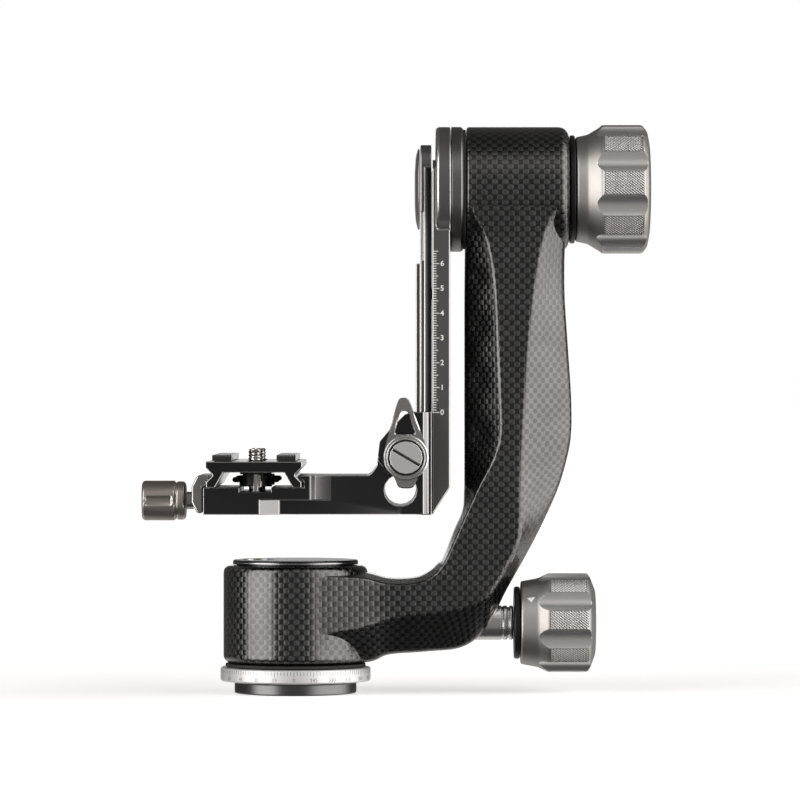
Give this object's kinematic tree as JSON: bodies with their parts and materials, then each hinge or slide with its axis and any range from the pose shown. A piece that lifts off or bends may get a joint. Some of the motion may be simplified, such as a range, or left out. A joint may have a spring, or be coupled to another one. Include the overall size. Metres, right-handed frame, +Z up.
{
  "type": "gimbal tripod head",
  "caption": "Side-mount gimbal head: a carbon arm turns on a pan base, and a dovetail cradle on a graduated rail swings from its tilt axis, with scalloped lock knobs.",
  "frame": {"origin": "on the pan axis, at the underside of the foot where the tripod's top plate bears", "axes": "+Z up along the pan axis, +X from the pan axis towards the upright arm and the lock knobs, +Y along the lens plate's dovetail, away from the rail clamp's lever"},
  "size_m": [0.2065, 0.1, 0.231],
  "materials": {
    "carbon": "gloss clear coat over plain weave carbon",
    "dark_anodised": "fine blasted black anodised",
    "grey_anodised": "satin dark grey anodised",
    "satin_silver": "satin clear anodised",
    "titanium_grey": "satin titanium grey anodised",
    "steel": "turned and polished",
    "brass": "turned",
    "rubber": "matt, ribbed",
    "polymer": "matt acetal",
    "level_glass": "clear"
  },
  "bodies": {
    "base": {"foot": "grey_anodised", "thread_insert": "steel", "graduated_ring": "satin_silver", "pan_spindle": "steel", "pan_retaining_nut": "steel", "pan_bearing_inner_race": "steel"},
    "arm": {"carbon_arm": "carbon", "pan_bearing_sleeve": "grey_anodised", "pan_bearing_outer_race": "steel", "pan_bearing_ball_cage": "steel", "pan_top_bush": "brass", "pan_dust_seal": "rubber", "pan_top_cap": "satin_silver", "level_cup": "satin_silver", "level_lens": "level_glass", "tilt_bearing_sleeve": "grey_anodised", "tilt_bearing_outer_race": "steel", "tilt_bearing_ball_cage": "steel", "tilt_outer_bush": "brass", "tilt_end_ring": "dark_anodised", "pan_lock_barrel": "dark_anodised"},
    "pan_brake": {"pan_brake_shoe": "brass"},
    "pan_knob": {"pan_lock_knob": "titanium_grey", "pan_lock_rod": "steel", "pan_lock_boss": "dark_anodised"},
    "swing": {"tilt_spindle": "steel", "tilt_flange": "grey_anodised", "tilt_bearing_inner_race": "steel", "swing_plate": "grey_anodised", "slide_rail": "grey_anodised", "tilt_axis_cap": "satin_silver", "rail_screw_top": "steel", "rail_screw_bottom": "steel"},
    "tilt_brake": {"tilt_friction_washer": "polymer"},
    "tilt_knob": {"tilt_lock_knob": "titanium_grey", "tilt_lock_bush": "brass"},
    "cradle": {"cradle_bracket": "dark_anodised", "rail_clamp_nut": "steel"},
    "rail_clamp": {"rail_jaw": "dark_anodised", "rail_jaw_pin_upper": "steel", "rail_jaw_pin_lower": "steel", "lever_washer": "satin_silver"},
    "clamp_lever": {"rail_clamp_lever": "titanium_grey", "rail_clamp_screw": "satin_silver"},
    "plate_clamp": {"plate_jaw": "dark_anodised", "plate_jaw_pin_near": "steel", "plate_jaw_pin_far": "steel"},
    "clamp_knob": {"plate_clamp_screw": "steel", "plate_clamp_knob": "titanium_grey"},
    "plate": {"lens_plate": "dark_anodised", "grip_pad_left": "rubber", "grip_pad_right": "rubber"},
    "front_slider": {"screw_washer_front": "steel"},
    "front_screw": {"camera_screw_front": "steel", "screw_ring_front": "steel"},
    "rear_slider": {"screw_washer_rear": "steel"},
    "rear_screw": {"camera_screw_rear": "steel", "screw_ring_rear": "steel"}
  },
  "joints": [
    {"name": "pan_turn", "type": "hinge", "parent": "base", "child": "arm", "pos_m": [0, 0, 0], "axis": [0, 0, 1], "continuous": true},
    {"name": "pan_brake_travel", "type": "slide", "parent": "arm", "child": "pan_brake", "axis": [1, 0, 0], "range_m": [0, 0.0015]},
    {"name": "pan_knob_turn", "type": "hinge", "parent": "pan_brake", "child": "pan_knob", "pos_m": [0.0915, 0, 0.0285], "axis": [1, 0, 0], "range_deg": [0, 360]},
    {"name": "tilt_turn", "type": "hinge", "parent": "arm", "child": "swing", "pos_m": [0.0633, 0, 0.2048], "axis": [1, 0, 0], "continuous": true},
    {"name": "tilt_brake_travel", "type": "slide", "parent": "swing", "child": "tilt_brake", "axis": [1, 0, 0], "range_m": [0, 0.0015]},
    {"name": "tilt_knob_turn", "type": "hinge", "parent": "tilt_brake", "child": "tilt_knob", "pos_m": [0.1138, 0, 0.2048], "axis": [1, 0, 0], "range_deg": [0, 360]},
    {"name": "cradle_slide", "type": "slide", "parent": "swing", "child": "cradle", "axis": [0, 0, 1], "range_m": [0, 0.065]},
    {"name": "rail_jaw_travel", "type": "slide", "parent": "cradle", "child": "rail_clamp", "axis": [0, -1, 0], "range_m": [0, 0.00112]},
    {"name": "lever_turn", "type": "hinge", "parent": "rail_clamp", "child": "clamp_lever", "pos_m": [0.0449, 0, 0.096], "axis": [0, -1, 0], "range_deg": [0, 270]},
    {"name": "plate_jaw_travel", "type": "slide", "parent": "cradle", "child": "plate_clamp", "axis": [-1, 0, 0], "range_m": [0, 0.003]},
    {"name": "clamp_knob_turn", "type": "hinge", "parent": "plate_clamp", "child": "clamp_knob", "pos_m": [-0.0412, 0, 0.0782], "axis": [-1, 0, 0], "range_deg": [0, 1080]},
    {"name": "plate_slide", "type": "slide", "parent": "cradle", "child": "plate", "axis": [0, 1, 0], "range_m": [-0.035, 0.035]},
    {"name": "front_screw_slide", "type": "slide", "parent": "plate", "child": "front_slider", "axis": [0, 1, 0], "range_m": [-0.012, 0.01]},
    {"name": "front_screw_turn", "type": "hinge", "parent": "front_slider", "child": "front_screw", "pos_m": [-0.0156, -0.02, 0.09], "axis": [0, 0, 1], "continuous": true},
    {"name": "rear_screw_slide", "type": "slide", "parent": "plate", "child": "rear_slider", "axis": [0, 1, 0], "range_m": [-0.01, 0.012]},
    {"name": "rear_screw_turn", "type": "hinge", "parent": "rear_slider", "child": "rear_screw", "pos_m": [-0.0156, 0.02, 0.09], "axis": [0, 0, 1], "continuous": true}
  ],
  "couplings": [
    {"joint": "pan_knob_turn", "follows": "pan_brake_travel", "rad_per_m": 4188.7},
    {"joint": "tilt_knob_turn", "follows": "tilt_brake_travel", "rad_per_m": 4188.7},
    {"joint": "lever_turn", "follows": "rail_jaw_travel", "rad_per_m": 4188.7},
    {"joint": "clamp_knob_turn", "follows": "plate_jaw_travel", "rad_per_m": 6283.1}
  ]
}
